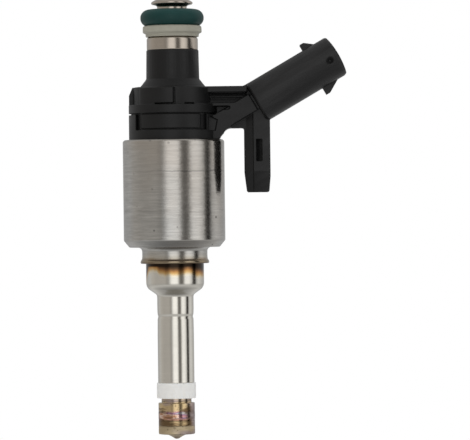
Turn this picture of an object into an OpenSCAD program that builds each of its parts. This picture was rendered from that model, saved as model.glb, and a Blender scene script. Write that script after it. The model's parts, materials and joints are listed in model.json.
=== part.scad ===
// Gasoline direct injection fuel injector: solenoid valve, side plug and locating leg.
// Millimetres. The injector's axis is Z, with the inlet up. Z = 0 is the lower edge of the
// nozzle tip's cylinder, where the cylinder ends and the spray nub begins. The plug points to +X.

/* [Nozzle] */
// Diameter of the nozzle tip and stem
stem_d = 7.4; // [7.2:0.05:7.6]
// Height of the tip's cylinder below the seal groove
tip_h = 6.4; // [6.2:0.1:7]
// Length of the slim stem between the seal groove and the cone
stem_h = 17.44; // [15:0.02:25]
// Diameter of the valve body above the cone
valve_body_d = 11.8; // [11.6:0.1:12]
// Height of the spray nub under the tip
nub_h = 1; // [0.9:0.1:1.2]
// Number of spray holes
spray_holes = 6; // [5:1:8]

/* [Combustion seal] */
// Outer diameter of the seal ring
seal_d = 7.94; // [7.8:0.02:8]
// Height of the seal ring
seal_h = 3.16; // [3:0.02:3.3]

/* [Steel housing] */
// Outer diameter of the magnet housing
housing_d = 20.7; // [20.3:0.1:21]
// Height of the housing above its lower shoulder
housing_h = 21.9; // [21.9:0.1:24]
// Diameter of the collar under the shoulder
collar_d = 13.3; // [13:0.1:13.6]

/* [Plastic overmould] */
// Diameter of the plastic cap where it leaves the housing
cap_d = 18.1; // [18:0.1:18.4]
// Diameter at the top of the plastic neck
neck_d = 10.64; // [10.5:0.02:10.8]

/* [Plug socket] */
// Angle of the socket above the horizontal
plug_tilt = 30; // [28:1:32]
// Length of the socket shell
plug_len = 18.8; // [18:0.1:20]
// Height of the oval shell across its narrow side
plug_t = 8.6; // [8.4:0.1:8.8]
// Distance between the two round sides' centres
plug_oval = 4; // [3.8:0.1:4.4]
// Distance between the two contacts
pin_pitch = 4.6; // [4.4:0.1:4.8]

/* [Locating leg] */
// Width of the leg seen from the side
leg_w = 5.3; // [5:0.1:5.6]
// Length of the leg below the arm
leg_h = 13.1; // [12:0.1:14]

/* [Fuel inlet] */
// Diameter of the inlet tube's bright band
band_d = 10.44; // [10.3:0.02:10.5]
// Thickness of the inlet O-ring
o_ring_t = 3.5; // [3.4:0.05:3.6]
// Diameter of the neck that the O-ring sits on
inlet_neck_d = 5.96; // [5.8:0.02:6]

/* [Valve motion] */
// Lift of the needle
needle_lift = 0.08; // [0.05:0.01:0.1]
// Free travel of the armature before it picks the needle up
free_stroke = 0.04; // [0.02:0.01:0.06]

/* [Hidden] */
$fn = 96;
cut = 0.5;              // how far a cutting shape runs past the face that it cuts
stop_gap = 0.01;        // gap left where a moving face rests on its stop

// Radii
stem_r = stem_d / 2;
body_r = valve_body_d / 2;
housing_r = housing_d / 2;
collar_r = collar_d / 2;
flange_r = collar_r + 0.35;
cap_r = cap_d / 2;
neck_r = neck_d / 2;
band_r = band_d / 2;
groove_r = 3.05;        // floor of the seal groove
spigot_r = 2.75;        // seat insert inside the nozzle's end
stem_bore_r = 2.3;
chamber_r = 4.62;       // bore that the armature runs in
armature_r = 4.55;
needle_r = 1.1;
needle_bore_r = needle_r + 0.03;
ball_r = 1.5;
ball_guide_r = 1.55;
pole_bore_r = 1.75;
stop_ring_r = 2.6;
spring_recess_r = 2.05;
coil_bore_r = 8.75;     // pot's bore around the coil
tube_r = 4.6;           // inlet tube inside the plastic
pole_top_r = 5.4;
inlet_bore_r = 2.1;
inlet_neck_r = inlet_neck_d / 2;
lip_r = 4.24;

// Heights up the axis
z_weld = 2.7;                                   // joint between seat insert and nozzle body
z_seal = tip_h + 0.9;
z_seal_top = z_seal + seal_h;
z_cone = z_seal_top + stem_h;
z_body = z_cone + 4.1;                          // full width of the valve body is reached here
z_flange = z_body + 2.75;
z_shoulder = z_flange + 3.3;                    // lower face of the housing
z_housing_top = z_shoulder + housing_h;
z_cover_top = z_housing_top - 1.8;
z_cover = z_cover_top - 2;
z_pot_floor = z_shoulder + 4;
z_body_top = z_shoulder + 8.4;
z_pole_step = z_body_top + 4.5;                 // top of the spacer sleeve
z_armature_top = z_body_top + 2.5;
armature_h = 4.7;
z_pole = z_armature_top + needle_lift + free_stroke + stop_gap;
z_cap_ledge = z_housing_top + 7.1;
z_cap_top = z_housing_top + 10.7;
z_neck = z_cap_top + 1.65;
z_neck_top = z_neck + 5.9;
z_band_top = z_neck_top + 2.7;
z_o_ring = z_band_top + 2.11 + o_ring_t / 2;
z_lip = z_band_top + 6.5;                       // underside of the inlet lip
z_inlet = z_lip + 1.3;
z_pole_top = z_cover_top + 3.8;
z_spigot = z_pole_top - 2.5;                    // lower end of the inlet tube
z_sleeve = z_cover_top + 0.3;                   // lower end of the adjusting sleeve

// Valve seat
seat_apex = 0.35;                               // apex height of the 90 degree seat cone
z_ball = seat_apex + (ball_r + stop_gap) * sqrt(2);
sac_r = 0.45;
sac_depth = 0.35;
z_seat_top = 5.65;

// Needle stops
z_upper_ring = z_armature_top + free_stroke + stop_gap / 2;
upper_ring_h = 0.85;
z_lower_ring_top = z_armature_top - armature_h - stop_gap;
lower_ring_h = 0.9;
z_needle_top = z_upper_ring + upper_ring_h + 0.5;

// Plug and arm
plug_r = plug_t / 2;
mouth_crown = 0.4;                              // how far the mouth's sides stand ahead of its flats
mouth_round_r = (plug_r * plug_r + mouth_crown * mouth_crown) / (2 * mouth_crown);
plug_x = housing_r + 6.65;                      // centre of the shell's rear face
plug_z = z_housing_top + 7.3;
socket_r = plug_r - 0.85;
socket_floor = 6.3;
pin_tip = 13;
terminal_x = 7.1;
terminal_z = plug_z - (plug_x - terminal_x) * tan(plug_tilt);
terminal_t = 0.8;
terminal_w = 1.5;
arm_side = 3.9;                                 // half width of the arm's flanges
web_side = 1.9;                                 // half width of its recessed web
z_arm = z_housing_top + 2.2;                    // underside of the arm
leg_x = housing_r + 4.05;
leg_side = 2.4;
leg_nose_side = 1.75;
leg_rib_side = 3;

// ---- helpers ----

// A ring between two radii and two heights.
module ring(r_in, r_out, z_low, z_high) {
    rotate_extrude() polygon([[r_in, z_low], [r_out, z_low], [r_out, z_high], [r_in, z_high]]);
}

// A solid turned from an outline of [radius, height] points.
module turned(outline) {
    rotate_extrude() polygon(outline);
}

// Points of a round arc in an outline, from angle a0 to a1.
function arc(centre, r, a0, a1, steps = 6) =
    [for (i = [0:steps]) centre + r * [cos(a0 + (a1 - a0) * i / steps), sin(a0 + (a1 - a0) * i / steps)]];

// An outline of [x, z] points, extruded to both sides of the XZ plane.
module slab(side) {
    rotate([90, 0, 0]) linear_extrude(2 * side, center = true) children();
}

// A block between x limits, z limits and both sides of the XZ plane.
module block(x, z, side) {
    translate([x[0], -side, z[0]]) cube([x[1] - x[0], 2 * side, z[1] - z[0]]);
}

// The plug's own frame: Z along the socket, from its rear face to its mouth, and X down.
module in_plug() {
    translate([plug_x, 0, plug_z]) rotate([0, 90 - plug_tilt, 0]) children();
}

// The same frame, drawn flat in the XZ plane: X along the socket and Y up from its axis.
module in_plug_plane() {
    translate([plug_x, plug_z]) rotate(plug_tilt) children();
}

// An oval bar along Z, with radius r0 at its start and r1 at its end.
module oval(z0, z1, r0, r1) {
    half = plug_oval / 2;
    for (side = [-1, 1]) translate([0, side * half, z0]) cylinder(h = z1 - z0, r1 = r0, r2 = r1);
    translate([0, half, 0]) rotate([90, 0, 0]) linear_extrude(plug_oval)
        polygon([[-r0, z0], [r0, z0], [r1, z1], [-r1, z1]]);
}

// A coil spring of round wire with closed ends, swept as one polyhedron.
module coil_spring(r, wire, z_low, z_high, turns, sides, steps) {
    n = turns * steps;
    body = z_high - z_low - 2 * wire;                  // travel of the wire's centre
    pitch = (body - 4 * wire) / (turns - 2);
    points = [for (i = [0:n], k = [0:sides - 1])
        let (u = i / steps, a = 360 * u, b = 360 * k / sides,
             rise = 2 * wire * (min(u, 1) + max(0, u - turns + 1)) + pitch * min(max(u - 1, 0), turns - 2),
             rr = r + wire * cos(b))
        [rr * cos(a), rr * sin(a), z_low + wire + rise + wire * sin(b)]];
    walls = [for (i = [0:n - 1], k = [0:sides - 1])
        let (k2 = (k + 1) % sides, a = i * sides, b = (i + 1) * sides)
        [a + k, b + k, b + k2, a + k2]];
    ends = [[for (k = [0:sides - 1]) k], [for (k = [sides - 1:-1:0]) n * sides + k]];
    polyhedron(points, concat(walls, ends), convexity = 10);
}

// ---- nozzle ----

// Seat insert: closes the nozzle, guides and seats the ball, and carries the spray holes.
module valve_seat() {
    tip_round = 0.22;
    color("rosybrown") difference() {
        turned(concat(
            [[0, -nub_h], [0.25, -nub_h + 0.01], [0.45, -nub_h + 0.08], [0.7, -nub_h + 0.25],
             [1.15, -0.47], [1.7, -0.2], [2.15, -0.05], [2.5, 0]],
            arc([stem_r - tip_round, tip_round], tip_round, -90, 0),
            [[stem_r, z_weld], [spigot_r, z_weld], [spigot_r, z_seat_top], [ball_guide_r, z_seat_top],
             [ball_guide_r, seat_apex + ball_guide_r], [sac_r, seat_apex + sac_r],
             [sac_r, -sac_depth + 0.2], [sac_r - 0.2, -sac_depth], [0, -sac_depth]]));
        for (i = [0:4]) rotate(i * 72) translate([ball_guide_r, 0, seat_apex + ball_guide_r + 0.2])
            cylinder(h = z_seat_top, r = 0.45, $fn = 32);
        for (i = [0:spray_holes - 1]) rotate(i * 360 / spray_holes + 15) translate([0.2, 0, -0.1])
            rotate([0, 130, 0]) cylinder(h = 2, r = 0.1, $fn = 24);
    }
}

// Nozzle body: stem, seal groove, crimp, cone and the chamber that the armature runs in.
module nozzle_body() {
    crimp_z = z_seal_top + 13.49;
    crimp_depth = 0.17;
    color("gainsboro") turned(concat(
        [[spigot_r, z_weld], [stem_r, z_weld], [stem_r, tip_h - 0.1], [stem_r - 0.1, tip_h],
         [groove_r, tip_h], [groove_r, z_seal_top], [stem_r - 0.05, z_seal_top], [stem_r, z_seal_top + 0.05],
         [stem_r, crimp_z - 0.65], [stem_r - crimp_depth, crimp_z - 0.1],
         [stem_r - crimp_depth, crimp_z + 0.1], [stem_r, crimp_z + 0.65]],
        arc([stem_r + 0.9, z_cone], 0.9, 180, 135, 4),
        [[stem_r + 1.55, z_cone + 1.55]],
        arc([body_r - 1.9, z_cone + 2.95], 1.9, -45, 0, 7),
        [[body_r, z_body_top], [chamber_r, z_body_top], [chamber_r, z_body - 0.5],
         [chamber_r - 0.6, z_body - 1.1], [stem_bore_r, z_body - 2.6], [stem_bore_r, z_seat_top],
         [spigot_r, z_seat_top]]));
}

module combustion_seal() {
    edge = 0.08;
    r = seal_d / 2;
    color("whitesmoke") turned([
        [groove_r, z_seal], [r - edge, z_seal], [r, z_seal + edge],
        [r, z_seal_top - edge], [r - edge, z_seal_top], [groove_r, z_seal_top]]);
}

// Guide disc that centres the needle's lower end, with slots that the fuel passes through.
module lower_guide() {
    color("silver") difference() {
        ring(needle_bore_r, stem_bore_r, z_seat_top, z_seat_top + 1.6);
        for (i = [0:3]) rotate(i * 90) translate([stem_bore_r - 0.2, 0, z_seat_top - cut])
            cylinder(h = 3, r = 0.5, $fn = 32);
    }
}

// ---- moving valve group ----

module needle() {
    color("lightsteelblue") difference() {
        turned([[0, z_ball + 0.8], [needle_r, z_ball + 0.8], [needle_r, z_needle_top - 0.2],
                [needle_r - 0.2, z_needle_top], [0, z_needle_top]]);
        translate([0, 0, z_ball]) sphere(ball_r);
    }
}

module needle_ball() {
    color("slategray") translate([0, 0, z_ball]) sphere(ball_r);
}

module upper_stop_ring() {
    color("silver") ring(needle_r, stop_ring_r, z_upper_ring, z_upper_ring + upper_ring_h);
}

module lower_stop_ring() {
    color("silver") turned([
        [needle_r, z_lower_ring_top - lower_ring_h], [1.8, z_lower_ring_top - lower_ring_h],
        [2.2, z_lower_ring_top - lower_ring_h + 0.4], [2.2, z_lower_ring_top], [needle_r, z_lower_ring_top]]);
}

module armature() {
    low = z_armature_top - armature_h;
    color("gray") difference() {
        turned([[needle_bore_r, low], [armature_r - 0.3, low], [armature_r, low + 0.3],
                [armature_r, z_armature_top - 0.1], [armature_r - 0.1, z_armature_top],
                [spring_recess_r, z_armature_top], [spring_recess_r, z_armature_top - 1.5],
                [needle_bore_r, z_armature_top - 1.5]]);
        for (i = [0:5]) rotate(30 + i * 60) translate([3.3, 0, low - cut])
            cylinder(h = armature_h + 2 * cut, r = 0.45, $fn = 32);
    }
}

module prestroke_spring() {
    color("lightgray") coil_spring(1.6, 0.15, z_armature_top - 1.5, z_upper_ring, 4, 8, 20);
}

module return_spring() {
    color("lightgray") coil_spring(1.38, 0.22, z_upper_ring + upper_ring_h, z_sleeve, 9, 8, 22);
}

// ---- magnet circuit ----

module adjusting_sleeve() {
    color("silver") turned([
        [1.05, z_sleeve], [pole_bore_r - 0.15, z_sleeve], [pole_bore_r, z_sleeve + 0.15],
        [pole_bore_r, z_sleeve + 4.5], [1.35, z_sleeve + 4.5], [1.05, z_sleeve + 4.2]]);
}

module inner_pole() {
    color("darkgray") turned([
        [stop_ring_r + 0.15, z_pole], [chamber_r, z_pole], [chamber_r, z_pole_step], [body_r, z_pole_step],
        [body_r, z_cover_top], [pole_top_r, z_cover_top], [pole_top_r, z_pole_top],
        [pole_top_r - 1.5, z_pole_top], [pole_top_r - 1.5, z_spigot], [pole_bore_r, z_spigot],
        [pole_bore_r, z_pole + 1.3], [stop_ring_r + 0.15, z_pole + 1.3]]);
}

// Non-magnetic ring that joins the nozzle body to the pole across the air gap.
module spacer_sleeve() {
    color("khaki") ring(chamber_r, body_r, z_body_top, z_pole_step);
}

bobbin_core_r = body_r + 0.6;
bobbin_r = coil_bore_r - 0.15;
bobbin_low = z_pot_floor + 0.15;
bobbin_top = z_cover - 0.25;
flange_t = 0.8;

// Block on the bobbin that leads both contacts up through the cover.
module bobbin_tower(gap = 0) {
    block([6.35 - gap, 7.95 + gap], [bobbin_top - 0.1, z_cover_top + 0.6], 3.2 + gap);
}

module coil_bobbin() {
    color("dimgray") difference() {
        union() {
            turned([
                [body_r + 0.03, bobbin_low], [bobbin_r, bobbin_low], [bobbin_r, bobbin_low + flange_t],
                [bobbin_core_r, bobbin_low + flange_t], [bobbin_core_r, bobbin_top - flange_t],
                [bobbin_r, bobbin_top - flange_t], [bobbin_r, bobbin_top], [body_r + 0.03, bobbin_top]]);
            bobbin_tower();
        }
        terminals();
    }
}

// Copper winding: the outer edge shows its layer of round wires.
module coil_winding() {
    low = bobbin_low + flange_t;
    high = bobbin_top - flange_t;
    wires = 26;
    wire_r = (high - low) / wires / 2;
    outer_r = bobbin_r - 0.3 - wire_r;
    color("chocolate") turned(concat(
        [[bobbin_core_r, low], [outer_r, low]],
        [for (i = [0:wires - 1], a = [-60, -30, 0, 30, 60])
            [outer_r + wire_r * cos(a), low + wire_r * (2 * i + 1 + sin(a))]],
        [[outer_r, high], [bobbin_core_r, high]]));
}

module yoke_cover() {
    color("darkgray") difference() {
        ring(body_r, cap_r, z_cover, z_cover_top);
        bobbin_tower(0.02);
    }
}

// Steel pot: magnet housing, lower shoulder, collar and weld flange, turned in one piece.
module magnet_housing() {
    fillet = 0.85;
    color("lightgray") turned(concat(
        [[body_r, z_flange], [flange_r - 0.12, z_flange], [flange_r, z_flange + 0.12],
         [flange_r, z_flange + 0.42], [flange_r - 0.1, z_flange + 0.62], [collar_r, z_flange + 1.02]],
        arc([collar_r + fillet, z_shoulder - fillet], fillet, 180, 90),
        [[housing_r - 1.15, z_shoulder], [housing_r, z_shoulder + 1.4],
         [housing_r, z_housing_top - 0.35], [housing_r - 0.35, z_housing_top], [cap_r, z_housing_top],
         [cap_r, z_cover], [coil_bore_r, z_cover], [coil_bore_r, z_pot_floor], [body_r, z_pot_floor]]));
}

// ---- plastic overmould ----

// Contact strip: up from the coil, bent along the arm, and out into the socket as a blade.
module terminal(y) {
    reach = (plug_x - terminal_x) / cos(plug_tilt) + pin_tip;
    half = terminal_t / 2;
    translate([0, y, 0]) slab(terminal_w / 2) {
        translate([terminal_x - half, bobbin_top - 0.5]) square([terminal_t, terminal_z - bobbin_top + 0.5]);
        translate([terminal_x, terminal_z]) circle(half, $fn = 32);
        translate([terminal_x, terminal_z]) rotate(plug_tilt)
            polygon([[0, -half], [reach - 0.6, -half], [reach, -half + 0.25],
                     [reach, half - 0.25], [reach - 0.6, half], [0, half]]);
    }
}

module terminals() {
    for (side = [-1, 1]) terminal(side * pin_pitch / 2);
}

module terminal_left() {
    color("gold") terminal(-pin_pitch / 2);
}

module terminal_right() {
    color("gold") terminal(pin_pitch / 2);
}

// Round cap and neck, hollow for the pole and the inlet tube.
module cap() {
    turned([
        [pole_top_r, z_cover_top], [cap_r, z_cover_top], [cap_r, z_cap_ledge - 0.08],
        [cap_r - 0.08, z_cap_ledge], [cap_r - 0.9, z_cap_ledge], [cap_r - 0.9, z_cap_top - 0.2],
        [cap_r - 1.1, z_cap_top], [neck_r + 1.4, z_cap_top], [neck_r + 0.1, z_neck],
        [neck_r, z_neck_top - 0.1], [neck_r - 0.1, z_neck_top], [tube_r, z_neck_top],
        [tube_r, z_pole_top], [pole_top_r, z_pole_top]]);
    // raised pads on the upper band, front and back
    intersection() {
        ring(cap_r - 1.2, cap_r - 0.72, z_cap_ledge - cut, z_cap_top - 0.25);
        block([-6.6, 0.2], [z_cap_ledge - cut, z_cap_top], cap_r);
    }
    // rib opposite the arm
    slab(1.2) polygon([
        [1.5 - cap_r, z_cap_ledge - cut], [0.1 - cap_r, z_cap_ledge - cut], [0.1 - cap_r, z_cap_ledge + 1.9],
        [0.8 - cap_r, z_cap_top - 0.05], [1.5 - cap_r, z_cap_top - 0.05]]);
}

// The part of a ring that lies between two x limits, front and back.
module ring_part(r_in, r_out, z_low, z_high, x) {
    intersection() {
        ring(r_in, r_out, z_low, z_high);
        block(x, [z_low - cut, z_high + cut], r_out);
    }
}

// Recesses in the cap's side: a shallow window with a deep pocket at both ends, front and back,
// a parting groove above them, and fine grooves around the pads.
module cap_recesses() {
    low = z_housing_top + 1.9;
    high = z_housing_top + 5.1;
    ring_part(cap_r - 0.2, cap_r + cut, low + 0.2, high, [-6.3, 5.6]);
    ring_part(cap_r - 0.45, cap_r + cut, low, low + 0.3, [-6.3, 5.6]);
    ring_part(cap_r - 0.6, cap_r + cut, low, high, [-7.5, -6.3]);
    ring_part(cap_r - 0.6, cap_r + cut, low, high, [5.6, 6.9]);
    ring(cap_r - 0.5, cap_r + cut, high - 0.05, high + 0.24);
    ring_part(cap_r - 1.3, cap_r, z_cap_ledge - 0.1, z_cap_top - 0.3, [0.15, 0.6]);
    ring_part(cap_r - 1.3, cap_r, z_cap_ledge - 0.1, z_cap_ledge + 0.22, [-3.6, 0.6]);
    ring_part(cap_r - 1.3, cap_r, z_cap_ledge - 0.1, z_cap_ledge + 0.18, [2.4, 4.4]);
}

// Arm between the cap and the plug: web, flanges, contact conduit and gusset.
module arm() {
    root_x = pole_top_r + 0.5;
    top_rear = plug_x - plug_r * sin(plug_tilt);
    gusset_end = cap_r + 2.7;
    gusset_edge = concat(
        [[root_x, z_housing_top + 0.02], [cap_r + 0.38, z_housing_top + 0.02],
         [cap_r + 0.72, z_housing_top + 0.7]],
        arc([gusset_end, z_arm - 1.55], 1.6, 160, 90));
    slab(web_side) difference() {
        polygon(concat(
            gusset_edge, [[gusset_end, z_arm], [leg_x - 0.4, z_arm]],
            arc([leg_x - 0.4, z_arm - 0.4], 0.4, 90, 0, 4),
            [[leg_x + leg_w, z_arm], [leg_x + leg_w, plug_z], [top_rear + 2, z_cap_top], [root_x, z_cap_top]]));
        in_plug_plane() translate([0, plug_r]) square(30);
    }
    // upper and lower flanges of its channel
    block([root_x, top_rear + 0.2], [z_cap_top - 1.15, z_cap_top], arm_side);
    block([root_x, cap_r + 4], [z_cap_ledge - 0.4, z_cap_ledge + 0.15], arm_side);
    // slanting steps along the channel's floor
    step_low = z_cap_ledge + 0.1;
    step_h = (z_cap_top - 1.1 - step_low) / 2;
    for (z = [step_low, step_low + step_h]) translate([root_x, 0, z])
        rotate([90, 0, 90]) linear_extrude(top_rear - root_x) polygon([
            [-web_side - 1.2, 0], [web_side + 1.2, 0], [web_side + 0.3, step_h + cut],
            [-web_side - 0.3, step_h + cut]]);
    // round corner where its top meets the plug
    slab(plug_oval / 2) polygon([
        [top_rear - 1.1, z_cap_top - 0.2], [top_rear - 1.1, z_cap_top], [top_rear - 0.5, z_cap_top + 0.1],
        [top_rear, z_cap_top + 0.34], [top_rear + 0.7, z_cap_top + 0.74], [top_rear + 0.7, z_cap_top - 0.2]]);
    // conduit that covers the contacts
    slab(arm_side) in_plug_plane() translate([-11.5, -1.35]) square([10.9, 3.55]);
    slab(arm_side - 0.15) in_plug_plane() translate([-1, -1.35]) square([1.3, 3.2]);
    // gusset between the conduit and the cap
    slab(arm_side) polygon(concat(
        gusset_edge, [[gusset_end, z_arm + 1.7], [root_x, z_arm + 2.6]]));
}

// Pockets moulded into both sides: a scalloped one over the conduit, and one beside the arm's root.
module arm_pockets() {
    cut_w = 4;
    for (side = [-1, 1]) {
        translate([0, side * (cut_w + 2.6), 0]) slab(cut_w) translate([cap_r, z_cap_ledge])
            polygon([[-0.5, -0.5], [-0.25, -1.05], [0.55, -1.6], [1.1, -1.25], [2.2, -1.25], [2.65, -0.85],
                     [2.55, -0.5]]);
        translate([0, side * (cut_w + 3.45), 0]) slab(cut_w) translate([0, z_housing_top])
            polygon([[7.05, 1.7], [8.6, 1.65], [9.05, 3.9], [7.3, 4.75]]);
    }
}

// Locating leg: a tapered post with a raised rib and a slot on each side.
module leg() {
    low = z_arm - leg_h;
    x1 = leg_x + leg_w;
    rib_x = leg_x + 1.9;
    intersection() {
        slab(leg_rib_side) polygon([
            [leg_x, z_arm + 3], [leg_x, low + 4], [leg_x + 0.45, low + 0.25], [leg_x + 0.7, low],
            [x1 - 0.5, low], [x1 - 0.25, low + 0.25], [x1, low + 3.2], [x1, z_arm + 1.9],
            [plug_x + 0.3, z_arm + 4], [rib_x, z_arm + 4]]);
        union() {
            // body of the leg, and the raised rib along its outer half
            intersection() {
                leg_wedge(0, leg_side, low);
                linear_extrude(2 * z_arm) polygon([
                    [leg_x - 0.1, -leg_nose_side], [rib_x, -leg_side], [x1 + 1, -leg_side],
                    [x1 + 1, leg_side], [rib_x, leg_side], [leg_x - 0.1, leg_nose_side]]);
            }
            leg_wedge(rib_x, leg_rib_side, low);
        }
    }
}

// Block from x outwards whose two sides run together towards its foot.
module leg_wedge(x, side, low) {
    taper_h = 4.3;
    foot = 0.35 * side;
    translate([x, 0, 0]) rotate([90, 0, 90]) linear_extrude(leg_x + leg_w) polygon([
        [-side, z_arm + 5], [-side, low + taper_h], [-foot, low], [foot, low],
        [side, low + taper_h], [side, z_arm + 5]]);
}

// Shallow pocket in each side of the leg's rib, deepest along its inner edge.
module leg_slots() {
    x = leg_x + 2.4;
    w = 1.25;
    for (side = [0, 1]) mirror([0, side, 0]) translate([0, 0, z_arm - 6.8]) linear_extrude(4.5)
        polygon([[x, -leg_rib_side - cut], [x + w, -leg_rib_side - cut],
                 [x + w, 0.2 - leg_rib_side], [x, 1.2 - leg_rib_side]]);
}

// Latch ramp on one flat of the plug. Its steep side faces the rear.
module latch_ramp(rear, height, front) {
    rotate([90, 0, 0]) linear_extrude(3.4, center = true)
        polygon([[plug_r - 0.6, plug_len - rear], [plug_r + height, plug_len - rear],
                 [plug_r + height, plug_len - rear + 0.9], [plug_r, plug_len - front],
                 [plug_r - 0.6, plug_len - front]]);
}

// Oval shell of the plug. Its mouth is crowned: the round sides stand ahead of the flats.
module plug_shell() {
    edge = 0.35;
    intersection() {
        union() {
            oval(0, edge, plug_r - edge, plug_r);
            oval(edge, plug_len - edge, plug_r, plug_r);
            oval(plug_len - edge, plug_len + mouth_crown, plug_r, plug_r - edge);
        }
        translate([0, 0, plug_len + mouth_crown - mouth_round_r]) rotate([90, 0, 0])
            cylinder(h = 4 * plug_t, r = mouth_round_r, center = true, $fn = 256);
    }
    latch_ramp(5.65, 1.55, 2.05);
    mirror([1, 0, 0]) latch_ramp(5.3, 1.33, 2.7);
}

// The plug's hollow, its bevelled mouth and the round dimple on each side.
module plug_hollow() {
    bevel = 0.3;
    oval(socket_floor, plug_len + cut, socket_r, socket_r);
    oval(plug_len - 0.5, plug_len + mouth_crown, socket_r, socket_r + bevel);
    for (side = [-1, 1]) translate([0.4, side * (plug_r + plug_oval / 2 - 0.75), plug_len - 1.75])
        rotate([-90 * side, 0, 0]) cylinder(h = 1, r1 = 0.2, r2 = 1.1, $fn = 48);
}

module connector_overmould() {
    color([0.13, 0.13, 0.14]) difference() {
        union() {
            difference() {
                cap();
                cap_recesses();
            }
            difference() {
                arm();
                ring(0, pole_top_r + 0.5, z_housing_top - cut, z_cap_top + cut);
            }
            difference() {
                leg();
                leg_slots();
            }
            in_plug() plug_shell();
        }
        in_plug() plug_hollow();
        arm_pockets();
        terminals();
        bobbin_tower();
    }
}

// ---- fuel inlet ----

module inlet_tube() {
    color("silver") turned(concat(
        [[pole_bore_r, z_spigot], [pole_top_r - 1.5, z_spigot], [pole_top_r - 1.5, z_pole_top],
         [tube_r, z_pole_top], [tube_r, z_neck_top], [band_r - 0.1, z_neck_top], [band_r, z_neck_top + 0.1]],
        arc([band_r - 0.6, z_band_top - 0.6], 0.6, 0, 90),
        [[inlet_neck_r, z_band_top], [inlet_neck_r, z_lip - 0.5], [inlet_neck_r + 0.15, z_lip - 0.15],
         [inlet_neck_r + 0.5, z_lip], [lip_r - 0.3, z_lip + 0.08]],
        arc([lip_r - 0.32, z_lip + 0.4], 0.32, -80, 40),
        [[lip_r - 0.65, z_lip + 0.98], [lip_r - 1.3, z_inlet], [inlet_bore_r + 0.35, z_inlet],
         [inlet_bore_r, z_inlet - 0.35], [inlet_bore_r, z_cap_top - 2], [pole_bore_r, z_cap_top - 2.35]]));
}

// Brass ring pressed into the inlet, with the strainer hanging under it.
module inlet_filter_ring() {
    high = z_inlet - 1;
    color("goldenrod") turned([
        [1.45, high - 2.2], [inlet_bore_r, high - 2.2], [inlet_bore_r, high],
        [1.75, high], [1.45, high - 0.3]]);
}

// Strainer: a ribbed basket with windows between its bars.
module inlet_filter_screen() {
    high = z_inlet - 3.2;
    low = high - 11;
    color("darkkhaki") difference() {
        turned([[0, low], [1.4, low], [1.6, low + 0.4], [1.6, high], [1.3, high],
                [1.3, low + 0.6], [0, low + 0.6]]);
        for (level = [0:3], i = [0:2]) translate([0, 0, low + 1 + level * 2.4]) rotate(i * 60 + 30)
            translate([-3, -0.5, 0]) cube([6, 1, 1.9]);
    }
}

// Two-step backup ring, with a cupped top that the O-ring sits in.
module backup_ring() {
    low_r = 5.42;
    top_r = 6;
    color("beige") translate([0, 0, z_band_top]) turned([
        [inlet_neck_r, 0], [low_r - 0.08, 0], [low_r, 0.08], [low_r, 0.6], [top_r - 0.2, 0.78],
        [top_r, 0.9], [top_r, 1.95], [top_r - 0.08, 2.1], [top_r - 0.25, 2.26], [top_r - 0.45, 2.26],
        [5.2, 2.1], [4.8, 2.05], [inlet_neck_r, 2.05]]);
}

// O-ring with the narrow flat that its seat in the rail cup leaves around it.
module inlet_o_ring() {
    outer = inlet_neck_r + o_ring_t - 0.02;
    color("darkslategray") intersection() {
        rotate_extrude() translate([inlet_neck_r + o_ring_t / 2, z_o_ring]) circle(o_ring_t / 2);
        ring(inlet_neck_r, outer, z_o_ring - o_ring_t, z_o_ring + o_ring_t);
    }
}

valve_seat();
nozzle_body();
combustion_seal();
lower_guide();
needle();
needle_ball();
upper_stop_ring();
lower_stop_ring();
armature();
prestroke_spring();
return_spring();
adjusting_sleeve();
inner_pole();
spacer_sleeve();
coil_bobbin();
coil_winding();
yoke_cover();
magnet_housing();
connector_overmould();
terminal_left();
terminal_right();
inlet_tube();
inlet_filter_ring();
inlet_filter_screen();
backup_ring();
inlet_o_ring();
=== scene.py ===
"""Looks of a direct injection fuel injector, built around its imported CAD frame.

Metres, in the CAD's own frame: +Z up along the injector's axis, from the tip at 0.
"""

import json
import math

import bmesh
import bpy
import numpy as np
from mathutils import Matrix, Vector

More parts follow.
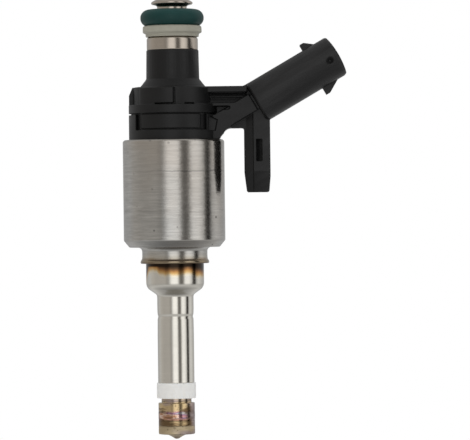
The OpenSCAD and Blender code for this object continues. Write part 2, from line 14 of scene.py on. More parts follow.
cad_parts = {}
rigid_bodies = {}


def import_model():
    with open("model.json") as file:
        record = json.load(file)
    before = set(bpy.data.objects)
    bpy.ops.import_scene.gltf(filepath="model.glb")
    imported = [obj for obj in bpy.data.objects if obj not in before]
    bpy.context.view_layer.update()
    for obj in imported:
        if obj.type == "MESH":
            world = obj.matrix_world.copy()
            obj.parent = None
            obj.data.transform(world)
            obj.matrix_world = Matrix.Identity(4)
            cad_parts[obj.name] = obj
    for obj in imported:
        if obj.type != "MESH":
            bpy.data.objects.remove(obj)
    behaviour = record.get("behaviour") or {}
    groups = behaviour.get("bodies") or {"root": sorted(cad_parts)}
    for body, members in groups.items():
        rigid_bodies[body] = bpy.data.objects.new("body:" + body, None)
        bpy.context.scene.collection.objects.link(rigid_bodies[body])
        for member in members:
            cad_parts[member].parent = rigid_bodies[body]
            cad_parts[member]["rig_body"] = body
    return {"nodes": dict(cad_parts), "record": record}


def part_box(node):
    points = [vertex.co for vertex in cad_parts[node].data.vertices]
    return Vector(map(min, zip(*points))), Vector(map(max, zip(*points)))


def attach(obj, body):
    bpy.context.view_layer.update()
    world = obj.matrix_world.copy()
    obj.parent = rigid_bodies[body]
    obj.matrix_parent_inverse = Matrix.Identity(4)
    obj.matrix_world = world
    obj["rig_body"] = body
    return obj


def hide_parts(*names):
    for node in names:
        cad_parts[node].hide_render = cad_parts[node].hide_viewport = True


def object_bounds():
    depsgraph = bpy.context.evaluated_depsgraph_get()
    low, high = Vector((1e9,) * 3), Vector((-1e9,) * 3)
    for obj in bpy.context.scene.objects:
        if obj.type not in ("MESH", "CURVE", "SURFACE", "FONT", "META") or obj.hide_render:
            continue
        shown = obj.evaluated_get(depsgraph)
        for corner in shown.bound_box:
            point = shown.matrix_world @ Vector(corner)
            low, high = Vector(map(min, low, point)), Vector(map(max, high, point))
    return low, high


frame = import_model()
cad_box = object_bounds()
nodes = frame["nodes"]
scene = bpy.context.scene
MM = 0.001
MICRON = 0.000001
BODY = "injector_body"


# ---- measures that the looks hang on ----

housing_low, housing_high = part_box("magnet_housing")
Z_HOUSING_LOW, Z_HOUSING_TOP = housing_low.z, housing_high.z
TIP_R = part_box("valve_seat")[1].x
PLUG_TILT = math.radians(30)
PLUG_ROOT = (15 * MM, 19 * MM)  # along X, where the plug's painted reflection streaks set in


# ---- short calls for shader nodes ----


def rgba(colour):
    if isinstance(colour, (int, float)):
        return (colour, colour, colour, 1.0)
    return (*colour[:3], 1.0)


class Tree:
    """A shader node tree. A value is a number, a colour or another node's socket."""

    def __init__(self, tree):
        self.tree = tree

    def node(self, kind, **props):
        n = self.tree.nodes.new(kind)
        for key, value in props.items():
            setattr(n, key, value)
        return n

    def link(self, a, b):
        self.tree.links.new(a, b)

    def feed(self, socket, value):
        if isinstance(value, bpy.types.NodeSocket):
            self.link(value, socket)
        else:
            socket.default_value = value

    def math(self, operation, a, b=0.0):
        n = self.node("ShaderNodeMath", operation=operation)
        self.feed(n.inputs[0], a)
        self.feed(n.inputs[1], b)
        return n.outputs[0]

    def apart(self, vector):
        n = self.node("ShaderNodeSeparateXYZ")
        self.link(vector, n.inputs[0])
        return n.outputs

    def joined(self, x, y, z):
        n = self.node("ShaderNodeCombineXYZ")
        for socket, value in zip(n.inputs, (x, y, z)):
            self.link(value, socket)
        return n.outputs[0]

    def span(self, value, low, high, to_low=0.0, to_high=1.0):
        """Maps low..high to to_low..to_high, and stays at the ends outside it."""
        n = self.node("ShaderNodeMapRange")
        self.link(value, n.inputs["Value"])
        ends = {"From Min": low, "From Max": high, "To Min": to_low, "To Max": to_high}
        for socket, number in ends.items():
            n.inputs[socket].default_value = number
        return n.outputs["Result"]

    def ramp(self, value, stops, ease="LINEAR"):
        """Colours along a value: stops are (place, grey or colour)."""
        n = self.node("ShaderNodeValToRGB")
        n.color_ramp.interpolation = ease
        self.link(value, n.inputs["Fac"])
        elements = n.color_ramp.elements
        while len(elements) < len(stops):
            elements.new(0.5)
        for element, (place, colour) in zip(elements, stops):
            element.position = place
            element.color = rgba(colour)
        return n.outputs["Color"]

    def mix(self, amount, a, b, blend="MIX"):
        n = self.node("ShaderNodeMix", data_type="RGBA", blend_type=blend)
        self.feed(n.inputs["Factor"], amount)
        for socket, value in (("A", a), ("B", b)):
            self.feed(n.inputs[socket], value if isinstance(value, bpy.types.NodeSocket) else rgba(value))
        return n.outputs["Result"]


class Mat(Tree):
    """A node material with one Principled shader."""

    def __init__(self, name, roughness=0.5, metallic=0.0, **fixed):
        self.mat = bpy.data.materials.new(name)
        self.mat.use_nodes = True
        super().__init__(self.mat.node_tree)
        self.shader = self.tree.nodes["Principled BSDF"]
        self.shader.inputs["Roughness"].default_value = roughness
        self.shader.inputs["Metallic"].default_value = metallic
        for socket, value in fixed.items():
            self.shader.inputs[socket.replace("_", " ")].default_value = value
        self.position = self.node("ShaderNodeTexCoord").outputs["Object"]

    def split(self):
        """x, y and z of the point shaded."""
        return self.apart(self.position)

    def round_position(self):
        """(angle around Z in turns, radius) of the point shaded."""
        x, y, _ = self.split()
        turn = self.math("DIVIDE", self.math("ARCTAN2", y, x), math.tau)
        squares = self.math("ADD", self.math("MULTIPLY", x, x), self.math("MULTIPLY", y, y))
        return turn, self.math("SQRT", squares)

    def scaled(self, scale, offset=(0, 0, 0), vector=None):
        n = self.node("ShaderNodeMapping")
        self.link(self.position if vector is None else vector, n.inputs["Vector"])
        n.inputs["Scale"].default_value = scale
        n.inputs["Location"].default_value = offset
        return n.outputs["Vector"]

    def noise(self, scale, detail=3.0, rough=0.55, offset=(0, 0, 0)):
        """Noise of about 0 to 1. The scale is in cells a metre, one number or three."""
        three = (scale,) * 3 if isinstance(scale, (int, float)) else scale
        return self.noise_at(self.scaled(three, offset), detail, rough)

    def noise_at(self, vector, detail, rough):
        n = self.node("ShaderNodeTexNoise")
        self.link(vector, n.inputs["Vector"])
        n.inputs["Scale"].default_value = 1.0
        n.inputs["Detail"].default_value = detail
        n.inputs["Roughness"].default_value = rough
        return n.outputs["Fac"]

    def cells(self, scale):
        """Distance to the nearest of many scattered points."""
        n = self.node("ShaderNodeTexVoronoi")
        self.link(self.scaled((scale,) * 3), n.inputs["Vector"])
        n.inputs["Scale"].default_value = 1.0
        return n.outputs["Distance"]

    def bumps(self, *layers):
        """Stacked bumps: each layer is (height socket of 0 to 1, its depth in metres)."""
        normal = None
        for height, depth in layers:
            n = self.node("ShaderNodeBump")
            n.inputs["Strength"].default_value = 1.0
            n.inputs["Distance"].default_value = depth
            self.link(height, n.inputs["Height"])
            if normal is not None:
                self.link(normal, n.inputs["Normal"])
            normal = n.outputs["Normal"]
        self.link(normal, self.shader.inputs["Normal"])

    def colour(self, value):
        self.link(value, self.shader.inputs["Base Color"])

    def roughness(self, value):
        self.link(value, self.shader.inputs["Roughness"])

    def paint(self, obj):
        obj.data.materials.clear()
        obj.data.materials.append(self.mat)
        for polygon in obj.data.polygons:
            polygon.material_index = 0


# ---- materials ----


def shade(colour, level):
    return tuple(level * c for c in colour)


def turned_steel(name, base, roughness, line, depth, seed, tint=None, stain=0.35, worn=False):
    """Lathe-turned steel: fine grooves around Z, each line mm wide, wider bands and a mottled film.

    tint(m, z, colour, rough, layers) may add oxide colours, and worn adds marks of handling.
    """
    m = Mat(name, roughness, 1.0)
    _, _, z = m.split()
    fine = m.noise((40, 40, 1 / (line * MM)), 2.0, 0.6, (seed, 0, 0))
    wide = m.noise((14, 14, 1 / (0.42 * MM)), 3.0, 0.6, (seed + 3, 0, 0))
    film = m.noise(170, 4.0, 0.6, (seed + 7, 0, 0))
    wave_scale, wave_detail, wave_depth = (600, 600, 2600), 2.0, 0.009
    band_strength = 0.2
    if worn:
        wave_scale, wave_detail, wave_depth = (480, 480, 1700), 3.0, 0.032
        band_strength = 0.8
    wave = m.noise(wave_scale, wave_detail, 0.6, (seed + 11, 0, 0))
    colour = m.mix(m.span(film, 0.35, 0.7, 0, stain), base, shade(base, 0.80))
    colour = m.mix(m.span(wide, 0.35, 0.72, 0, band_strength), colour, shade(base, 0.76))
    rough = m.span(wide, 0.25, 0.75, roughness * 0.82, roughness * 1.25)
    rough = m.math("ADD", rough, m.span(film, 0.4, 0.75, 0, 0.05))
    if worn:
        streak = m.noise((240, 240, 2000), 4.0, 0.65, (seed + 15, 0, 0))
        colour = m.mix(m.span(streak, 0.38, 0.62, 0, 0.9), colour, shade(base, 0.72))
    layers = [(fine, depth * 0.0022 * MM), (wide, depth * 0.004 * MM), (wave, depth * wave_depth * MM)]
    if worn:
        colour = handled(m, z, colour, layers)
    if tint is not None:
        colour, rough = tint(m, z, colour, rough, layers)
    m.colour(colour)
    m.roughness(rough)
    m.bumps(*layers)
    return m


def handled(m, z, colour, layers):
    """Marks of handling on the housing: a brownish film, a few rings scored around it, and small dents,
    pressed in by a bump and darkened with painted shade.
    """
    brown_film, score_grey, dent_painted_shade = (0.43, 0.385, 0.335), (0.2, 0.19, 0.18), (0.10, 0.09, 0.085)
    score_spacing, score_depth, cells_around = 0.9 * MM, 0.006 * MM, 4.0
    dent_spacing, dent_depth = 2.6 * MM, 0.03 * MM
    film = m.noise((90, 90, 60), 3.0, 0.55, (4, 2, 6))
    high = m.span(z, Z_HOUSING_LOW + 6 * MM, Z_HOUSING_TOP, 0.0, 0.16)
    colour = m.mix(m.span(m.math("ADD", film, high), 0.42, 0.78, 0, 0.6), colour, brown_film)
    drift = m.noise((110, 110, 40), 2.0, 0.5, (7, 7, 1))
    level = m.math("ADD", z, m.span(drift, 0.2, 0.8, -0.5 * MM, 0.5 * MM))
    jag = m.noise((500, 500, 300), 3.0, 0.6, (3, 8, 2))
    level = m.math("ADD", level, m.span(jag, 0.2, 0.8, -0.18 * MM, 0.18 * MM))
    x, y, _ = m.split()
    x, y = (m.math("MULTIPLY", value, cells_around) for value in (x, y))
    spot = m.joined(x, y, m.math("MULTIPLY", level, 1 / score_spacing))
    breaks = m.span(m.noise(170, 2.0, 0.5, (5, 1, 4)), 0.42, 0.6, 0.15, 1.0)
    score = m.math("MULTIPLY", m.span(m.noise_at(spot, 1.0, 0.5), 0.6, 0.68), breaks)
    colour = m.mix(m.math("MULTIPLY", score, 0.5), colour, score_grey)
    low_half = m.span(z, Z_HOUSING_LOW + 9 * MM, Z_HOUSING_LOW + 14 * MM, 1.0, 0.4)
    dent = m.math("MULTIPLY", m.span(m.cells(1 / dent_spacing), 0.06, 0.12, 1.0, 0.0), low_half)
    # painted shade: the dents are darkened in colour on top of their bump
    colour = m.mix(m.math("MULTIPLY", dent, 0.75), colour, dent_painted_shade)
    layers.append((dent, -dent_depth))
    layers.append((score, -score_depth))
    return colour


def oxide(m, z, colour, stops, low, high, wobble, seed, grain=(260, 260, 130)):
    """Oxide colours between two heights, with an edge that wobbles by that many mm.

    Stops are (place, colour, strength).
    """
    drift = m.noise(grain, 3.0, 0.6, (seed, 1, 0))
    shifted = m.math("ADD", z, m.span(drift, 0.25, 0.75, -wobble * MM, wobble * MM))
    place = m.span(shifted, low, high)
    hue = m.ramp(place, [(p, c) for p, c, _ in stops])
    strength = m.ramp(place, [(p, s) for p, _, s in stops])
    return m.mix(strength, colour, hue)


def tip_oxide(m, z, colour, rough, layers):
    """Oxide of the tip: khaki and dull below, golden around, and a rippled laser weld of many colours."""
    gold, brown, khaki = (0.61, 0.44, 0.22), (0.10, 0.06, 0.03), (0.64, 0.52, 0.33)
    smear_brown, soot, violet_grey = (0.12, 0.07, 0.035), (0.06, 0.04, 0.025), (0.42, 0.34, 0.34)
    foot, oxide_top = 1.78, 8.0  # mm above the tip: where the dull foot ends, and all oxide
    stops = [
        (0.0, khaki, 0.9), (foot - 0.04, khaki, 0.9), (foot + 0.08, brown, 0.95), (2.0, gold, 0.92),
        (2.7, gold, 0.9), (2.9, brown, 0.95), (3.05, (0.56, 0.27, 0.17), 0.9),
        (3.55, (0.42, 0.25, 0.24), 0.85), (4.05, (0.58, 0.34, 0.20), 0.9), (4.55, brown, 0.9),
        (4.75, gold, 0.9), (6.5, (0.52, 0.38, 0.19), 0.9),
        (6.75, brown, 0.9), (6.9, (0.42, 0.31, 0.17), 0.85), (7.6, (0.45, 0.36, 0.24), 0.7),
        (oxide_top, (0.6, 0.56, 0.5), 0.0)]
    stops = [(place / oxide_top, hue, strength) for place, hue, strength in stops]
    colour = oxide(m, z, colour, stops, 0.0, oxide_top * MM, 0.22, 2.0, (300, 300, 260))
    at_tip = m.span(z, 6.9 * MM, 7.6 * MM, 1.0, 0.0)
    wander = m.noise((110, 110, 60), 2.0, 0.5, (1, 6, 2))
    height = m.math("ADD", z, m.span(wander, 0.3, 0.7, -0.45 * MM, 0.45 * MM))
    weld_start = m.span(height, 2.75 * MM, 3.15 * MM)
    weld_end = m.span(height, 4.3 * MM, 4.75 * MM, 1.0, 0.0)
    weld = m.math("MULTIPLY", weld_start, weld_end)
    across = m.split()[0]
    lean = m.span(across, -TIP_R, TIP_R, -0.13, 0.1)
    swirl = m.math("ADD", m.noise((170, 170, 760), 3.0, 0.6, (6.5, 2.2, 1.4)), lean)
    patchy = m.ramp(swirl, [
        (0.28, (0.10, 0.05, 0.03)), (0.38, (0.48, 0.24, 0.13)), (0.45, (0.76, 0.58, 0.48)),
        (0.5, (0.50, 0.22, 0.24)), (0.55, (0.33, 0.18, 0.29)), (0.6, (0.40, 0.37, 0.42)),
        (0.65, (0.84, 0.81, 0.78)), (0.75, (0.6, 0.56, 0.52))])
    colour = m.mix(m.math("MULTIPLY", weld, 0.92), colour, patchy)
    away = m.math("ABSOLUTE", across)
    smear = m.noise((130, 130, 700), 4.0, 0.6, (9, 4, 4))
    smear = m.math("ADD", smear, m.span(away, 0.25 * TIP_R, 0.7 * TIP_R, -0.07, 0.06))
    smeared = m.math("MULTIPLY", at_tip, m.span(z, 1.4 * MM, 2.0 * MM, 0.2, 1.0))
    colour = m.mix(m.math("MULTIPLY", m.span(smear, 0.48, 0.6, 0, 0.88), smeared), colour, smear_brown)
    violet = m.noise((140, 140, 300), 2.0, 0.5, (4, 9, 7))
    violet = m.math("ADD", violet, m.span(away, 0.5 * TIP_R, 0.95 * TIP_R, 0.0, 0.13))
    colour = m.mix(m.math("MULTIPLY", m.span(violet, 0.52, 0.66, 0, 0.75), at_tip), colour, violet_grey)
    specks = m.noise(1500, 3.0, 0.7, (2, 7, 5))
    colour = m.mix(m.math("MULTIPLY", m.span(specks, 0.6, 0.7, 0, 0.6), at_tip), colour, soot)
    dull = m.span(z, 1.7 * MM, 1.8 * MM, 0.3, 0.0)
    soft = m.math("MULTIPLY", m.span(smear, 0.4, 0.65, 0.0, 0.12), at_tip)
    ripples = m.math("MULTIPLY", swirl, m.math("MULTIPLY", at_tip, m.math("ADD", weld, 0.25)))
    foot_step = m.span(z, (foot - 0.04) * MM, (foot + 0.04) * MM)
    layers.append((ripples, 0.12 * MM))
    layers.append((foot_step, 0.03 * MM))
    return colour, m.math("ADD", rough, m.math("ADD", dull, soft))


def nozzle_oxide(m, z, colour, rough, layers):
    """The tip's oxide, and a burnt black and amber zone under the flange."""
    colour, rough = tip_oxide(m, z, colour, rough, layers)
    stops = [
        (0.0, (0.66, 0.62, 0.54), 0.0), (0.15, (0.80, 0.70, 0.48), 0.35), (0.36, (0.62, 0.38, 0.12), 0.85),
        (0.52, (0.42, 0.20, 0.05), 0.95), (0.63, (0.22, 0.10, 0.035), 0.97), (0.75, (0.09, 0.05, 0.026), 1.0),
        (0.88, (0.035, 0.023, 0.015), 1.0), (1.0, (0.022, 0.016, 0.012), 1.0)]
    turn, _ = m.round_position()
    # how far down the burn reaches, once around from -X past the front
    reach = m.ramp(m.math("ADD", turn, 0.5), [
        (0.0, 0.6), (0.03, 1.0), (0.055, 0.4), (0.075, 0.04), (0.14, 0.06), (0.175, 0.36), (0.2, 0.52),
        (0.225, 0.44), (0.27, 0.44), (0.31, 0.36), (0.35, 0.42), (0.4, 0.6), (0.5, 0.55), (0.6, 0.3),
        (0.7, 0.6), (0.85, 0.2), (1.0, 0.6)], "EASE")
    lowered = m.math("ADD", z, m.span(reach, 0.0, 1.0, -0.85 * MM, 1.7 * MM))
    slow = m.noise((95, 95, 30), 2.0, 0.5, (3, 3, 8))
    lowered = m.math("ADD", lowered, m.span(slow, 0.3, 0.7, -0.35 * MM, 0.2 * MM))
    burn_low = Z_HOUSING_LOW - 2.9 * MM
    colour = oxide(m, lowered, colour, stops, burn_low, Z_HOUSING_LOW, 0.3, 5.0, (420, 420, 90))
    fused = m.span(z, Z_HOUSING_LOW - 0.75 * MM, Z_HOUSING_LOW - 0.45 * MM)
    return m.mix(fused, colour, (0.024, 0.016, 0.011)), rough


def housing_oxide(m, z, colour, rough, layers):
    """Olive and brown tint on the weld flange and the collar's foot."""
    stops = [
        (0.0, (0.16, 0.11, 0.07), 0.95), (0.12, (0.28, 0.22, 0.135), 0.9), (0.3, (0.25, 0.17, 0.09), 0.75),
        (0.5, (0.5, 0.44, 0.34), 0.4), (1.0, (0.5, 0.48, 0.45), 0.0)]
    return oxide(m, z, colour, stops, Z_HOUSING_LOW, Z_HOUSING_LOW + 2.6 * MM, 0.2, 9.0), rough


def plug_painted_sheen(m, colour, pale):
    """Pale streaks painted along the plug as its soft reflections; the plug is tilted in the XZ plane."""
    x, y, z = m.split()
    c, s = math.cos(PLUG_TILT), math.sin(PLUG_TILT)
    across = m.math("SUBTRACT", m.math("MULTIPLY", z, c), m.math("MULTIPLY", x, s))
    along = m.math("ADD", m.math("MULTIPLY", x, c), m.math("MULTIPLY", z, s))
    # painted reflection: paler streaks along the plug's length
    streak = m.noise_at(m.scaled((90, 500, 900), (3, 0, 0), m.joined(along, y, across)), 3.0, 0.55)
    return m.mix(m.math("MULTIPLY", m.span(streak, 0.4, 0.65, 0.3, 1.0), m.span(x, *PLUG_ROOT)), colour, pale)


def paler(colour, gain, lift):
    return tuple(min(1.0, gain * c + lift) for c in colour)


def moulded_plastic(name, base, roughness=0.42, grain=0.16, depth=4.0, plug=False, **fixed):
    """Moulded nylon with flow marks, worn spots and a matte grain, grain mm wide and depth microns deep."""
    m = Mat(name, roughness, 0.0, **fixed)
    texture = m.noise(1 / (grain * MM), 2.0, 0.6)
    cloud = m.noise(120, 4.0, 0.6, (2, 0, 0))
    flow = m.noise((60, 60, 420), 3.0, 0.5, (5, 0, 0))
    specks = m.noise(2600, 2.0, 0.7, (8, 0, 0))
    pale = paler(base, 1.7, 0.004)
    colour = m.mix(m.span(cloud, 0.4, 0.75, 0, 0.5), base, pale)
    colour = m.mix(m.span(specks, 0.68, 0.82, 0, 0.3), colour, paler(base, 2.2, 0.01))
    if plug:
        # painted reflection: pale streaks along the plug stand for its sheen
        colour = plug_painted_sheen(m, colour, shade(pale, 1.3))
    m.colour(colour)
    rough = m.span(cloud, 0.3, 0.7, roughness * 0.9, roughness * 1.12)
    m.roughness(m.math("ADD", rough, m.span(flow, 0.4, 0.7, 0, 0.05)))
    m.bumps((texture, depth * MICRON), (flow, 2 * MICRON))
    return m


def soft_rubber(name, base):
    """Dull rubber with a faint bloom and a fine grain."""
    m = Mat(name, 0.5, 0.0, Specular_IOR_Level=0.25)
    bloom = m.noise(400, 4.0, 0.6)
    grain = m.noise(7000, 2.0, 0.6, (4, 0, 0))
    m.colour(m.mix(m.span(bloom, 0.4, 0.75, 0, 0.3), base, paler(base, 1.3, 0.004)))
    m.roughness(m.span(bloom, 0.3, 0.75, 0.42, 0.55))
    m.bumps((grain, 2.5 * MICRON), (bloom, 4 * MICRON))
    return m


def seal_ptfe():
    """White sintered PTFE: waxy, with fine lathe marks and a little grey soiling."""
    m = Mat("seal_white", 0.42, 0.0, Subsurface_Weight=0.25, Subsurface_Scale=0.6 * MM,
            Subsurface_Radius=(1.0, 0.95, 0.85))
    lines = m.noise((60, 60, 1 / (0.12 * MM)), 2.0)
    soil = m.noise((500, 500, 900), 4.0, 0.6, (3, 0, 0))
    m.colour(m.mix(m.span(soil, 0.5, 0.8, 0, 0.35), (0.89, 0.885, 0.86), (0.76, 0.75, 0.715)))
    m.roughness(m.span(soil, 0.3, 0.7, 0.38, 0.5))
    m.bumps((lines, 4 * MICRON), (soil, 4 * MICRON))
    return m


def enamelled_copper():
    """Copper wire under a clear enamel."""
    m = Mat("copper", 0.25, 1.0, Coat_Weight=0.6, Coat_Roughness=0.1)
    tone = m.noise((300, 300, 2000), 3.0)
    m.colour(m.mix(m.span(tone, 0.3, 0.7), (0.62, 0.25, 0.12), (0.78, 0.38, 0.2)))
    m.roughness(m.span(tone, 0.3, 0.7, 0.2, 0.32))
    m.bumps((m.noise(3000, 2.0), 2 * MICRON))
    return m


def rolled_brass():
    """Rolled brass with a darker film."""
    m = Mat("contact_metal", 0.25, 1.0)
    grain = m.noise((5000, 5000, 300), 2.0)
    film = m.noise(500, 3.0, 0.6, (4, 0, 0))
    m.colour(m.mix(m.span(film, 0.35, 0.75), (0.70, 0.56, 0.30), (0.52, 0.40, 0.22)))
    m.roughness(m.span(film, 0.3, 0.7, 0.2, 0.34))
    m.bumps((grain, 1.5 * MICRON))
    return m


MATERIALS = {
    "tip_steel": turned_steel("tip_steel", (0.58, 0.55, 0.50), 0.16, 0.08, 0.8, 1.0, tip_oxide),
    "nozzle_steel": turned_steel("nozzle_steel", (0.71, 0.683, 0.62), 0.11, 0.08, 1.1, 21.0, nozzle_oxide),
    "seal_white": seal_ptfe(),
    "bright_steel": turned_steel("bright_steel", (0.63, 0.63, 0.63), 0.18, 0.07, 0.5, 33.0),
    "ball_steel": turned_steel("ball_steel", (0.68, 0.68, 0.7), 0.07, 0.2, 0.1, 40.0, stain=0.1),
    "magnet_steel": turned_steel("magnet_steel", (0.48, 0.48, 0.49), 0.28, 0.1, 1.0, 47.0),
    "spring_steel": turned_steel("spring_steel", (0.52, 0.52, 0.53), 0.22, 0.3, 0.4, 51.0),
    "bobbin_plastic": moulded_plastic("bobbin_plastic", (0.06, 0.06, 0.065), 0.45),
    "copper": enamelled_copper(),
    "housing_steel": turned_steel("housing_steel", (0.53, 0.52, 0.495), 0.155, 0.1, 1.0, 5.0, housing_oxide,
                                  worn=True),
    "black_plastic": moulded_plastic("black_plastic", (0.0050, 0.0050, 0.0051), 0.42, 0.11, 3.0, plug=True,
                                     Specular_IOR_Level=0.31),
    "contact_metal": rolled_brass(),
    "inlet_steel": turned_steel("inlet_steel", (0.47, 0.415, 0.355), 0.16, 0.07, 0.5, 61.0),
    "filter_plastic": moulded_plastic("filter_plastic", (0.72, 0.68, 0.56), 0.45),
    "backup_plastic": moulded_plastic("backup_plastic", (0.33, 0.32, 0.265), 0.45, 0.2, 3.0,
                                      Specular_IOR_Level=0.3),
    "o_ring_rubber": soft_rubber("o_ring_rubber", (0.004, 0.037, 0.034)),
}


# ---- turned pieces, made finer from the CAD's own outline ----


CUT_ANGLE = 0.3713  # where the half plane cuts the turned nodes, off every facet's own edge
FAR_SIDE = 1.5  # an edge that turns further lies across the axis from the cut
LEAST_POINTS = 6  # of an outline
SAME_POINT = 2e-6
STRAIGHT_ON = 2e-6


def outline_of(node):
    """The node's closed outlines of (radius, height) in the half plane at the cut's angle.

    A facet's edge that crosses the half plane is interpolated by its angle, so the points lie on the true
    turned surface.
    """
    mesh = nodes[node].data
    mesh.calc_loop_triangles()
    co = np.array([v.co for v in mesh.vertices], float)
    key = {}
    weld = np.array([key.setdefault(tuple(np.round(p, 8)), len(key)) for p in co])
    spot = np.zeros((len(key), 3))
    spot[weld] = co
    radius = np.hypot(spot[:, 0], spot[:, 1])
    angle = np.arctan2(spot[:, 1], spot[:, 0]) - CUT_ANGLE
    angle = (angle + math.pi) % math.tau - math.pi
    cuts, links = {}, {}
    for triangle in mesh.loop_triangles:
        ids = [int(weld[v]) for v in triangle.vertices]
        crossed = []
        for a, b in zip(ids, ids[1:] + ids[:1]):
            pa, pb = angle[a], angle[b]
            if (pa < 0) == (pb < 0) or abs(pa - pb) > FAR_SIDE:
                continue
            edge = (min(a, b), max(a, b))
            t = pa / (pa - pb)
            cuts[edge] = (radius[a] + t * (radius[b] - radius[a]), spot[a, 2] + t * (spot[b, 2] - spot[a, 2]))
            crossed.append(edge)
        if len(crossed) == 2 and crossed[0] != crossed[1]:
            links.setdefault(crossed[0], []).append(crossed[1])
            links.setdefault(crossed[1], []).append(crossed[0])
    loops, seen = [], set()
    for start in sorted(links):
        if start in seen:
            continue
        loop, at = [], start
        while at is not None:
            seen.add(at)
            loop.append(cuts[at])
            at = next((e for e in links[at] if e not in seen), None)
        loops.append(loop)
    return [simple(loop) for loop in sorted(loops, key=len, reverse=True) if len(loop) >= LEAST_POINTS]


def simple(loop):
    """The same closed outline without its doubled and straight-on points."""
    points = [np.array(p) for p in loop]
    kept = [points[0]]
    for p in points[1:]:
        if np.hypot(*(p - kept[-1])) > SAME_POINT:
            kept.append(p)
    if np.hypot(*(kept[0] - kept[-1])) < SAME_POINT:
        kept.pop()
    changed = True
    while changed:
        changed = False
        for i in range(len(kept)):
            a, b, c = kept[i - 1], kept[i], kept[(i + 1) % len(kept)]
            along = c - a
            off = abs(along[0] * (b - a)[1] - along[1] * (b - a)[0]) / max(np.hypot(*along), 1e-9)
            if off < STRAIGHT_ON:
                kept.pop(i)
                changed = True
                break
    return kept


def softened(loop, edge, sharp_bend=38.0, least_bend=2.0, rounds=3):
    """Cuts every corner in each round, so that it ends up rounded.

    A sharp corner is cut once by the edge's size in metres, and a gentle one over its whole length. Bends are
    in degrees.
    """
    sharp_share, gentle_share, later_share = 0.4, 0.25, 0.3  # of the stretch beside the corner, at most
    points = loop
    for turn in range(rounds):
        out = []
        for i, b in enumerate(points):
            back, on = points[i - 1] - b, points[(i + 1) % len(points)] - b
            lengths = np.hypot(*back), np.hypot(*on)
            bend = math.degrees(math.acos(np.clip(-(back @ on) / (lengths[0] * lengths[1]), -1, 1)))
            if bend < least_bend:
                out.append(b)
                continue
            for side, length in zip((back, on), lengths):
                cut = gentle_share * length
                if turn == 0 and bend > sharp_bend:
                    cut = min(sharp_share * length, edge)
                elif turn > 0:
                    cut = min(cut, later_share * min(lengths))
                out.append(b + side / length * cut)
        points = out
    return points


def filled(points, step, guard=0.05 * MM):
    """Adds points on long straight stretches: one near each end, and the rest evenly."""
    out = []
    for a, b in zip(points, points[1:] + points[:1]):
        out.append(a)
        length = np.hypot(*(b - a))
        if length > 4 * guard:
            inner = max(1, int(length / step))
            places = [guard / length] + [k / inner for k in range(1, inner)] + [1 - guard / length]
            out.extend(a + (b - a) * t for t in sorted(set(places)))
    return out


def lathe(name, loops, around, shift):
    """A closed turned mesh, around faces around. shift(radius, height, angle) may give a change of radius."""
    vertices, faces = [], []
    angles = [math.tau * k / around for k in range(around)]
    for loop in loops:
        area = sum(a[0] * b[1] - b[0] * a[1] for a, b in zip(loop, loop[1:] + loop[:1]))
        line = loop if area > 0 else loop[::-1]
        base, count = len(vertices), len(line)
        for angle in angles:
            c, s = math.cos(angle), math.sin(angle)
            for radius, z in line:
                r = radius + (shift(radius, z, angle) if shift else 0.0)
                vertices.append((r * c, r * s, z))
        for k in range(around):
            row, after = base + k * count, base + ((k + 1) % around) * count
            for i in range(count):
                j = (i + 1) % count
                faces.append((row + i, after + i, after + j, row + j))
    mesh = bpy.data.meshes.new(name)
    mesh.from_pydata(vertices, [], faces)
    mesh.update()
    mesh.polygons.foreach_set("use_smooth", [True] * len(mesh.polygons))
    obj = bpy.data.objects.new(name, mesh)
    scene.collection.objects.link(obj)
    return obj


def turned_piece(node, slot, edge, around=192, step=0.5, shift=None):
    """The node's turned shape again, with rounded edges and a fine mesh, in place of the node.

    The edge's size and the longest step along the outline are in mm.
    """
    loops = [filled(softened(loop, edge * MM), step * MM) for loop in outline_of(node)]
    piece = lathe(node + "_turned", loops, around, shift)
    MATERIALS[slot].paint(piece)
    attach(piece, frame["nodes"][node]["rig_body"])
    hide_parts(node)


def weld_relief(r, z, angle):
    """Relief of the tip's outside: a rippled weld bead between two fine notches."""
    if r < TIP_R - 0.05 * MM:
        return 0.0
    bead_z, bead_half = 3.75 * MM + 0.12 * MM * math.sin(2 * angle + 1), 0.85 * MM
    groove_z, groove_width = 2.95 * MM + 0.08 * MM * math.sin(3 * angle), 0.11 * MM
    notch_z, notch_width = 4.6 * MM, 0.07 * MM
    ripple = 0.5 + 0.5 * math.sin(46 * angle + 5 * math.sin(3 * angle + 0.7) + 900 * z)
    bead = max(0.0, 1 - abs(z - bead_z) / bead_half) ** 0.7 * (0.012 + 0.016 * ripple) * MM
    groove = 0.05 * MM * math.exp(-(((z - groove_z) / groove_width) ** 2))
    notch = 0.03 * MM * math.exp(-(((z - notch_z) / notch_width) ** 2))
    return min(bead - groove - notch, 0.02 * MM)


turned_piece("magnet_housing", "housing_steel", 0.1, 256)
turned_piece("nozzle_body", "nozzle_steel", 0.05, 224, 0.3, weld_relief)
turned_piece("inlet_tube", "inlet_steel", 0.07, 224)
turned_piece("combustion_seal", "seal_white", 0.12, step=0.25)
turned_piece("backup_ring", "backup_plastic", 0.08, step=0.3)
turned_piece("inlet_o_ring", "o_ring_rubber", 0.1, 224, 0.3)

for subpart in frame["record"]["subparts"]:
    MATERIALS[subpart["material_slot"]].paint(nodes[subpart["node"]])


# ---- plastic overmould: the CAD's shape with moulded fillets ----


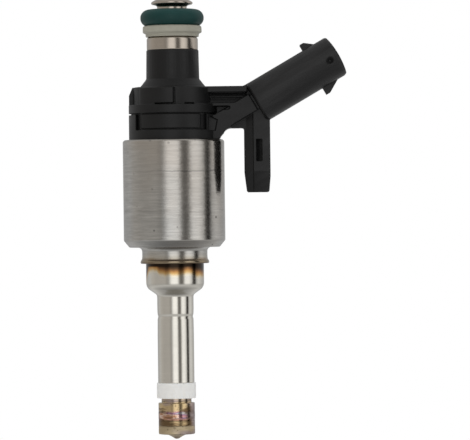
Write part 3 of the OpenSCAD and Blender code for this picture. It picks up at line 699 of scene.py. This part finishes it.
def moulded_overmould():
    """The moulding again from small cells, smoothed so that its edges get fillets, and thinned."""
    cell = 0.1 * MM
    mesh = nodes["connector_overmould"].data.copy()
    work = bpy.data.objects.new("overmould_shell", mesh)
    scene.collection.objects.link(work)
    bm = bmesh.new()
    bm.from_mesh(mesh)
    bmesh.ops.remove_doubles(bm, verts=bm.verts, dist=1e-7)
    bm.to_mesh(mesh)
    bm.free()
    remesh = work.modifiers.new("remesh", "REMESH")
    remesh.mode = "VOXEL"
    remesh.voxel_size = cell
    remesh.adaptivity = 0.0
    smooth = work.modifiers.new("smooth", "SMOOTH")
    smooth.factor = 0.5
    smooth.iterations = 2
    thinned = work.modifiers.new("thinned", "DECIMATE")
    thinned.ratio = 0.45
    bpy.context.view_layer.update()
    evaluated = work.evaluated_get(bpy.context.evaluated_depsgraph_get())
    work_mesh = bpy.data.meshes.new_from_object(evaluated)
    work.modifiers.clear()
    work.data = work_mesh
    work_mesh.polygons.foreach_set("use_smooth", [True] * len(work_mesh.polygons))
    MATERIALS["black_plastic"].paint(work)
    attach(work, BODY)
    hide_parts("connector_overmould")


moulded_overmould()


# ---- stage: floor, studio and camera ----


def floor_disc():
    """A pale floor well under the tip, which fades out at its rim."""
    drop, floor_radius, fade_from, fade_to = 0.055, 0.36, 0.2, 0.34
    mesh = bpy.data.meshes.new("floor")
    bm = bmesh.new()
    place = Matrix.Translation((0, 0, cad_box[0].z - drop))
    bmesh.ops.create_circle(bm, cap_ends=True, segments=128, radius=floor_radius, matrix=place)
    bm.to_mesh(mesh)
    bm.free()
    obj = bpy.data.objects.new("floor", mesh)
    scene.collection.objects.link(obj)
    m = Mat("floor_pale", 0.6)
    _, radius = m.round_position()
    speck = m.noise(30, 3.0)
    m.colour(m.mix(m.span(speck, 0.4, 0.7, 0, 0.3), 0.93, 0.9))
    m.link(m.span(radius, fade_from, fade_to, 1.0, 0.0), m.shader.inputs["Alpha"])
    m.paint(obj)
    obj.visible_glossy = False


WARM, COOL = (1.0, 0.965, 0.92), (1.0, 1.0, 1.0)
# Soft boxes and dark gaps around the object: (azimuth in degrees, level, hue). 0 is the camera's side, -Y,
# and 90 is +X.
BANDS = [
    (-180, 0.30, COOL), (-150, 0.32, COOL), (-120, 0.42, COOL), (-100, 0.39, WARM), (-80, 0.35, WARM),
    (-40, 0.36, WARM), (-29, 0.27, WARM), (-24, 0.34, COOL), (-13, 0.86, COOL), (-5, 0.91, COOL),
    (5, 0.90, COOL), (11, 0.82, COOL), (19, 0.16, WARM), (27, 0.11, WARM), (33, 0.18, WARM),
    (43, 0.84, COOL), (57, 0.85, COOL), (70, 0.56, COOL), (76, 0.10, WARM), (83, 0.01, WARM),
    (88, 0.03, WARM), (97, 0.47, COOL), (110, 0.58, COOL), (130, 0.42, COOL), (150, 0.34, COOL),
    (180, 0.34, COOL)]
# Levels from straight down (0) over the horizon (0.5) to straight up (1).
HEIGHTS = [
    (0.0, 0.18), (0.08, 0.27), (0.15, 0.36), (0.3, 0.5), (0.38, 0.65), (0.44, 1.0), (0.72, 1.0), (1.0, 0.9)]
# Heights of the direction, -1 to 1, over which the boxes set in above the even floor light, and the even
# ceiling above the boxes.
BOXES_START, CEILING_START = (-0.5, -0.15), (0.6, 0.82)
CEILING = 0.4
STUDIO_STRENGTH = 1.45


def studio():
    """White backdrop, and a studio of soft boxes around the object, told by direction."""
    world = bpy.data.worlds.new("studio")
    scene.world = world
    world.use_nodes = True
    t = Tree(world.node_tree)
    t.tree.nodes.clear()
    x, y, z = t.apart(t.node("ShaderNodeTexCoord").outputs["Generated"])
    azimuth = t.math("ARCTAN2", x, t.math("MULTIPLY", y, -1.0))
    turn = t.math("ADD", t.math("DIVIDE", azimuth, math.tau), 0.5)
    bands = t.ramp(turn, [(degrees / 360 + 0.5, shade(hue, level)) for degrees, level, hue in BANDS])
    heights = t.ramp(t.math("ADD", t.math("MULTIPLY", z, 0.5), 0.5), HEIGHTS)
    boxes = t.mix(1.0, bands, heights, "MULTIPLY")
    sides = t.mix(t.span(z, *BOXES_START), heights, boxes)
    around = t.mix(t.span(z, *CEILING_START), sides, CEILING)
    lit, backdrop = t.node("ShaderNodeBackground"), t.node("ShaderNodeBackground")
    t.link(around, lit.inputs["Color"])
    lit.inputs["Strength"].default_value = STUDIO_STRENGTH
    backdrop.inputs["Color"].default_value = rgba(1.0)
    pick, out = t.node("ShaderNodeMixShader"), t.node("ShaderNodeOutputWorld")
    t.link(t.node("ShaderNodeLightPath").outputs["Is Camera Ray"], pick.inputs["Fac"])
    t.link(lit.outputs[0], pick.inputs[1])
    t.link(backdrop.outputs[0], pick.inputs[2])
    t.link(pick.outputs[0], out.inputs["Surface"])


def top_light():
    """Large soft light overhead, for matte surfaces only: no piece mirrors it."""
    lamp = bpy.data.lights.new("top_light", "AREA")
    lamp.shape, lamp.size, lamp.energy = "DISK", 0.6, 1.6
    obj = bpy.data.objects.new("top_light", lamp)
    obj.matrix_world = Matrix.Translation((0, -0.1, 0.6))
    obj.visible_glossy = False
    obj.visible_camera = False
    scene.collection.objects.link(obj)


def camera():
    """Level, a little right of the axis, as far away as a product photographer stands."""
    distance, across, height = 0.70, 12.35 * MM, 43.45 * MM
    roll = math.radians(0.687)
    data = bpy.data.cameras.new("camera")
    data.sensor_width = 36.0
    data.lens = 262.96
    data.clip_start, data.clip_end = 0.05, 10.0
    obj = bpy.data.objects.new("camera", data)
    scene.collection.objects.link(obj)
    right = Vector((math.cos(roll), 0, -math.sin(roll)))
    up = Vector((math.sin(roll), 0, math.cos(roll)))
    back = Vector((0, -1, 0))
    turn = Matrix((right, up, back)).transposed().to_4x4()
    obj.matrix_world = Matrix.Translation((across, -distance, height)) @ turn
    scene.camera = obj


floor_disc()
studio()
top_light()
camera()
scene.view_settings.view_transform = "Standard"
